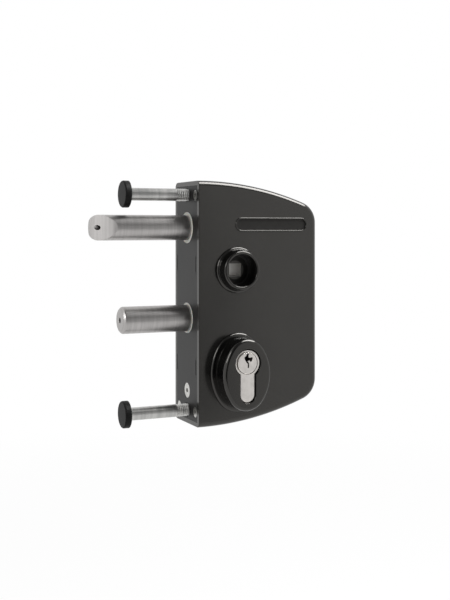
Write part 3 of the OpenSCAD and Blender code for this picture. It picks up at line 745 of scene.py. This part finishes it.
spigot = key_block("rosette_spigot", SPIGOT_GROW, -CASE_D - SPIGOT_ROOT, -CASE_D + WALL)
carve(rosette, spigot, "UNION")
carve(rosette, key_block("rosette_hole", HOLE_GAP, HOLE_FROM, HOLE_TO))
choose(rosette)
bpy.ops.object.mode_set(mode="EDIT")


def on_hole_edge(p):
    """True on the front edge of the hole for the key cylinder."""
    margin = HOLE_GAP + 0.05
    beside, above = abs(p.x - HUB_X), p.z - KEY_Z
    near = math.hypot(beside, above) < BODY_R + margin
    in_leg = beside < LEG + margin and BODY_R - BODY_H - margin < above < 0
    return p.y < -CASE_D - OVAL_OUT + TOUCH and (near or in_leg)


pick(rosette, "EDGE", on_hole_edge)
round_off(HOLE_BREAK, 3)
leave_edit()
smooth(rosette)
rear_rosette = turned_about(rosette, "rear_rosette_block")
place(rosette, gloss_black, "lock", "black_gloss", "front_rosette")
place(rear_rosette, gloss_black, "lock", "black_gloss", "rear_rosette")

# Key cylinder.
# A double cylinder of nickel-plated brass: a drawn body with a slot for the
# cam and a turning plug at each end, with the zigzag slot of its key.
satin_nickel = plain_finish("satin_nickel", dark=(0.64, 0.615, 0.585), light=(0.73, 0.70, 0.67),
                            metal=1, rough=(0.28, 0.38), cloud=3, grain=0.12, depth=0.0006)
worn_edges(satin_nickel, (0.86, 0.83, 0.79), width=0.25, strength=0.5)
BODY_L, BODY_BREAK, PLUG_R, PLUG_GAP, PLUG_END = 35, 0.6, 6.65, 0.05, -5.05
GROOVE_W, GROOVE_DEPTH = 0.3, 1.2
RELIEF_X, RELIEF_Z, RELIEF_DEPTH, RELIEF_IN = 0.7, 0.35, 3, 1
CAM_GAP, WEB_TOP, CAM_ROOM, SCREW_Z, SCREW_R = 5, -15.4, 40, -56.5, 2.52
cylinder = key_outline("cylinder_housing", 0, -BODY_L)
pull((0, 2 * BODY_L, 0))
outward()
pick(cylinder, "EDGE", lambda p: p.y < -BODY_L + TOUCH)
round_off(BODY_BREAK, 4)
pick(cylinder, "EDGE", lambda p: p.y > BODY_L - TOUCH)
round_off(BODY_BREAK, 4)
outward()
leave_edit()


def stepped_bore(name, mouth_r, mouth_depth, inner_r, middle):
    """Cutter for both ends of the cylinder: a wide mouth at each, and a narrower bore between."""
    past, mouth = BODY_L + 1, BODY_L - mouth_depth
    return turned(name, [
        (-past, 0, 0), (-past, mouth_r, 0), (-mouth, mouth_r, 0), (-mouth, inner_r, 0),
        (mouth, inner_r, 0), (mouth, mouth_r, 0), (past, mouth_r, 0), (past, 0, 0)], middle, ALONG_Y)


# A groove runs round each plug, and a relief set upwards and towards the plate widens it there.
groove_r = PLUG_R + GROOVE_W
carve(cylinder, stepped_bore("plug_bore", groove_r, GROOVE_DEPTH, PLUG_R + PLUG_GAP, (HUB_X, 0, KEY_Z)))
carve(cylinder, stepped_bore("plug_relief", groove_r, RELIEF_DEPTH, PLUG_R - RELIEF_IN,
                             (HUB_X - RELIEF_X, 0, KEY_Z + RELIEF_Z)))
cut_box(cylinder, (HUB_X, 0, KEY_Z + WEB_TOP + CAM_ROOM / 2), (CAM_ROOM, 2 * CAM_GAP, CAM_ROOM))
drill(cylinder, SCREW_R, 40, (HUB_X, 0, SCREW_Z), (0, math.pi / 2, 0), 48)
smooth(cylinder)
place(cylinder, satin_nickel, "lock", "nickel_brass", "cylinder_body")
front_plug = turned("front_plug_barrel", [
    (-BODY_L, 0, 0), (-BODY_L, PLUG_R, 0.3), (PLUG_END, PLUG_R, 0.3), (PLUG_END, 0, 0)],
    (HUB_X, 0, KEY_Z), ALONG_Y)
KEY_SLOT = ((-0.4, 6.2), (1, 6.2), (0.7, 4.5), (0.9, 3.5), (3.3, 3.7), (3.6, 2.9), (2.6, 0.9), (1.7, 1),
            (1.2, 1.9), (0, 1.2), (1, 0.2), (1, -2.9), (0.1, -2.9), (0.1, -0.3), (-1.2, 1.1), (-2, 2.8),
            (-2.2, 3.9), (-1, 4.7))
SLOT_FROM, SLOT_TO = -BODY_L - 1, -10
slot_corners = [(HUB_X + x, SLOT_FROM, KEY_Z + z) for x, z in KEY_SLOT]
slot_cut = begin_line("slot_cut", slot_corners[0])
for corner in slot_corners[1:]:
    line_to(slot_cut, corner)
close_face()
pull((0, SLOT_TO - SLOT_FROM, 0))
outward()
leave_edit()
carve(front_plug, slot_cut)
smooth(front_plug)
rear_plug = turned_about(front_plug, "rear_plug_barrel")
place(front_plug, satin_nickel, "front_plug", "nickel_brass", "front_key_plug")
place(rear_plug, satin_nickel, "rear_plug", "nickel_brass", "rear_key_plug")

# Fixing bolts.
# Two steel machine bolts that clamp the lock and run into its threaded blocks;
# the thread is cut on the end that enters the case.
rolled_zinc = plain_finish("rolled_zinc", dark=(0.40, 0.40, 0.39), light=(0.55, 0.545, 0.53),
                           metal=1, rough=(0.30, 0.40), cloud=3, grain=0.1, depth=0.0006,
                           stretch=(1, 0.06, 0.06))
worn_edges(rolled_zinc, (0.70, 0.70, 0.68), width=0.2, strength=0.5)
FIX_Z, GRIP = 69, 40
SHANK_R, HEAD_R, HEAD_T, SHANK_END = 4, 6.5, 2.6, 14.5
THREAD_FROM, THREAD_PITCH, THREAD_DEPTH = -8, 1.25, 0.6
# One ring of the thread: places along the bolt in mm, with the share of its depth there.
THREAD_SHAPE = ((0, 0), (0.55, 1), (0.7, 1), (1.15, 0))


def doubled_below(piece):
    """Adds a second one of a piece at the lower fixing, as one object."""
    choose(piece)
    bpy.ops.object.mode_set(mode="EDIT")
    bpy.ops.mesh.select_all(action="SELECT")
    bpy.ops.mesh.duplicate_move(TRANSFORM_OT_translate={"value": (0, 0, -2 * FIX_Z * MM)})
    leave_edit()


bolt_profile = [(-GRIP - HEAD_T, 0, 0), (-GRIP - HEAD_T, HEAD_R, 0.5), (-GRIP, HEAD_R, 0.3),
                (-GRIP, SHANK_R, 0.3)]
ridge = THREAD_FROM
while ridge + THREAD_PITCH < SHANK_END:
    bolt_profile += [(ridge + step, SHANK_R - share * THREAD_DEPTH, 0) for step, share in THREAD_SHAPE]
    ridge += THREAD_PITCH
bolt_profile += [(SHANK_END, SHANK_R - THREAD_DEPTH, 0), (SHANK_END, 0, 0)]
fixing_pair = turned("fixing_bolt_pair", bolt_profile, (0, 0, FIX_Z), ALONG_X, 64)
doubled_below(fixing_pair)
smooth(fixing_pair)
place(fixing_pair, rolled_zinc, "lock", "zinc_steel", "fixing_bolts")

# Caps of the fixing bolts.
# Low black lids of moulded nylon with a rounded edge, snapped over the bolt heads.
cap_nylon = plain_finish("cap_nylon", dark=(0.004, 0.004, 0.004), light=(0.007, 0.007, 0.0068),
                         metal=0, rough=(0.42, 0.52), cloud=6, grain=0.35, depth=0.002)
coat_shine(cap_nylon, 0.1)
CAP_R, CAP_T, CAP_ROUND, RECESS_R, RECESS_T = 8.5, 4, 1, 6.52, 2.7
cap_pair = turned("bolt_cap_pair", [
    (-GRIP - RECESS_T, 0, 0), (-GRIP - RECESS_T, RECESS_R, 0), (-GRIP, RECESS_R, 0),
    (-GRIP, CAP_R, 0), (-GRIP - CAP_T, CAP_R, CAP_ROUND), (-GRIP - CAP_T, 0, 0)],
    (0, 0, FIX_Z), ALONG_X)
doubled_below(cap_pair)
smooth(cap_pair)
place(cap_pair, cap_nylon, "lock", "black_cap", "fixing_bolt_caps")

# Studio.
# A pale floor well below the lock and a white surround, which mirrored rays see
# darker above the front and where the camera stands. Sizes here are in metres.
FLOOR_SIZE, FLOOR_Z = 2.4, -0.32
bpy.ops.object.select_all(action="DESELECT")
bpy.ops.mesh.primitive_plane_add(size=FLOOR_SIZE, location=(0, 0, FLOOR_Z))
floor = bpy.context.object
floor.name = "floor"


def seen_directly(tree):
    """Socket that is 1 for rays from the camera and for mirrored or refracted ones."""
    path = tree.nodes.new("ShaderNodeLightPath")
    seen = path.outputs["Is Camera Ray"]
    for kind in ("Is Glossy Ray", "Is Transmission Ray"):
        either = tree.nodes.new("ShaderNodeMath")
        either.operation = "MAXIMUM"
        tree.links.new(seen, either.inputs[0])
        tree.links.new(path.outputs[kind], either.inputs[1])
        seen = either.outputs["Value"]
    return seen


pale_floor = bpy.data.materials.new("pale_floor")
pale_floor.use_nodes = True
boards = pale_floor.node_tree
floor_shader = boards.nodes["Principled BSDF"]
floor_shader.inputs["Base Color"].default_value = (0.86, 0.86, 0.86, 1)
floor_shader.inputs["Roughness"].default_value = 0.9
glow = boards.nodes.new("ShaderNodeEmission")
spot = boards.nodes.new("ShaderNodeTexCoord")
away = boards.nodes.new("ShaderNodeVectorMath")
away.operation = "LENGTH"
boards.links.new(spot.outputs["Object"], away.inputs[0])
fade = boards.nodes.new("ShaderNodeMapRange")
fade.inputs["From Min"].default_value = 0.3
fade.inputs["From Max"].default_value = 1.2
fade.inputs["To Min"].default_value = 0.9
fade.inputs["To Max"].default_value = 1
boards.links.new(away.outputs["Value"], fade.inputs["Value"])
share_of_glow = boards.nodes.new("ShaderNodeMath")
share_of_glow.operation = "MULTIPLY"
boards.links.new(seen_directly(boards), share_of_glow.inputs[0])
boards.links.new(fade.outputs["Result"], share_of_glow.inputs[1])
both = boards.nodes.new("ShaderNodeMixShader")
boards.links.new(share_of_glow.outputs["Value"], both.inputs["Fac"])
boards.links.new(floor_shader.outputs["BSDF"], both.inputs[1])
boards.links.new(glow.outputs["Emission"], both.inputs[2])
boards.links.new(both.outputs["Shader"], boards.nodes["Material Output"].inputs["Surface"])
floor.data.materials.append(pale_floor)

world = bpy.data.worlds.new("white_surround")
bpy.context.scene.world = world
world.use_nodes = True
sky = world.node_tree
surround = sky.nodes["Background"]
surround.inputs["Color"].default_value = (1, 1, 1, 1)
facing = sky.nodes.new("ShaderNodeTexCoord")


def darker_side(towards, begins, ends, least):
    """Level that falls from 1 to a least one as a ray turns towards a direction, between two cosines."""
    turn = sky.nodes.new("ShaderNodeVectorMath")
    turn.operation = "DOT_PRODUCT"
    turn.inputs[1].default_value = towards
    sky.links.new(facing.outputs["Generated"], turn.inputs[0])
    fall = sky.nodes.new("ShaderNodeMapRange")
    fall.interpolation_type = "SMOOTHSTEP"
    fall.inputs["From Min"].default_value = begins
    fall.inputs["From Max"].default_value = ends
    fall.inputs["To Min"].default_value = 1
    fall.inputs["To Max"].default_value = least
    sky.links.new(turn.outputs["Value"], fall.inputs["Value"])
    return fall.outputs["Result"]


def chosen(which, other, taken):
    """Number that is one level or, where a switch is 1, another; a level is a number or a socket."""
    choice = sky.nodes.new("ShaderNodeMix")
    sky.links.new(which, choice.inputs["Factor"])
    for name, source in (("A", other), ("B", taken)):
        if isinstance(source, (int, float)):
            choice.inputs[name].default_value = source
        else:
            sky.links.new(source, choice.inputs[name])
    return choice.outputs["Result"]


ABOVE_FRONT, AHEAD = (0, -0.6, 0.8), (-0.1, -0.98, -0.17)
LIGHTING_LEVEL, WHITE = 0.22, 1
mirrored = sky.nodes.new("ShaderNodeMath")
mirrored.operation = "MULTIPLY"
sky.links.new(darker_side(ABOVE_FRONT, begins=0.6, ends=0.8, least=0.2), mirrored.inputs[0])
sky.links.new(darker_side(AHEAD, begins=0.84, ends=0.915, least=0.1), mirrored.inputs[1])
ray = sky.nodes.new("ShaderNodeLightPath")
level = chosen(ray.outputs["Is Glossy Ray"], LIGHTING_LEVEL, mirrored.outputs["Value"])
for kind in ("Is Camera Ray", "Is Transmission Ray"):
    level = chosen(ray.outputs[kind], level, WHITE)
sky.links.new(level, surround.inputs["Strength"])

# Lamps.
# The main lamp hangs above the front right and is kept off the bright bars, which
# a weak lamp beside it lights. A small one at the left lifts what faces that way.


def softbox(name, at, towards, size, watts, roll=0):
    """Rectangular lamp at a place, turned towards a point, all in metres; roll in degrees."""
    lamp = bpy.data.lights.new(name, "AREA")
    lamp.shape = "RECTANGLE"
    lamp.size, lamp.size_y = size
    lamp.energy = watts
    stand = bpy.data.objects.new(name, lamp)
    bpy.context.scene.collection.objects.link(stand)
    stand.location = at
    aim = (Vector(towards) - Vector(at)).to_track_quat("-Z", "Y")
    stand.rotation_euler = (aim @ Quaternion((0, 0, 1), math.radians(roll))).to_euler()
    return stand


LOCK_TOP = (0.03, 0, 0.06)
lamp_right = softbox("lamp_right", (0.51, -0.35, 0.89), LOCK_TOP, size=(0.65, 0.82), watts=20, roll=30)
softbox("lamp_bars", (0.595, -0.35, 0.84), LOCK_TOP, size=(0.42, 0.8), watts=2.2, roll=-42)
softbox("lamp_left", (-0.82, -0.3, 0.42), (0.03, 0, 0), size=(0.35, 0.35), watts=2.4)
flagged = bpy.data.collections.new("flagged")
for bar in (latch_bar, deadbolt_bar, fixing_pair):
    flagged.objects.link(bar)
for member in flagged.collection_objects:
    member.light_linking.link_state = "EXCLUDE"
lamp_right.light_linking.receiver_collection = flagged

# Camera.
# It stands level at the front left, as for the photograph, with the frame
# shifted to place the lock in it.
camera_data = bpy.data.cameras.new("camera")
camera = bpy.data.objects.new("camera", camera_data)
bpy.context.scene.collection.objects.link(camera)
camera_data.sensor_width = 36
camera_data.lens = 60
camera_data.shift_x = -0.0006
camera_data.shift_y = -0.11875
camera.location = (-0.2442, -0.5956, 0.0473)
camera.rotation_euler = (math.radians(90), 0, math.radians(-24.5))
bpy.context.scene.camera = camera
bpy.context.scene.view_settings.view_transform = "Standard"
